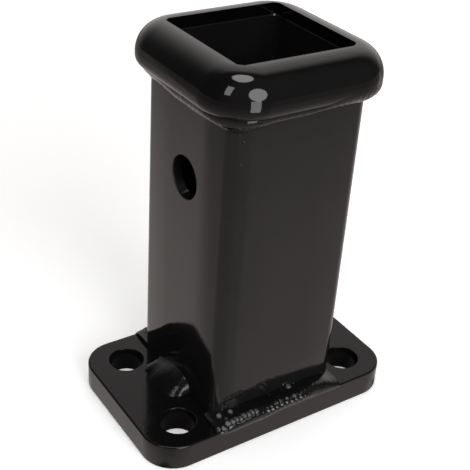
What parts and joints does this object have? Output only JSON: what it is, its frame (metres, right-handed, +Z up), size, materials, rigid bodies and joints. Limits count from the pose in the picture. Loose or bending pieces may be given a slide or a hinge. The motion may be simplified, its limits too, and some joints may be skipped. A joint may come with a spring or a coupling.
{
  "type": "hitch receiver tube",
  "caption": "Upright square steel receiver tube with a pin hole, welded to a bolt-on base plate, with a heavy rounded collar welded round its mouth; all painted gloss black.",
  "frame": {"origin": "middle of the base plate's underside", "axes": "+Z up along the tube, out of its mouth; +X along the plate's long side, which is also the direction of the hitch pin; +Y across the plate"},
  "size_m": [0.118, 0.0776, 0.163],
  "materials": {
    "black_paint": "semi-gloss black paint over steel",
    "painted_weld": "semi-gloss black paint over rippled weld metal"
  },
  "bodies": {
    "root": {"base_plate": "black_paint", "receiver_tube": "black_paint", "mouth_collar": "black_paint", "collar_weld": "painted_weld", "front_base_weld": "painted_weld", "rear_base_weld": "painted_weld", "left_tack_weld": "painted_weld", "right_tack_weld": "painted_weld"}
  },
  "joints": []
}
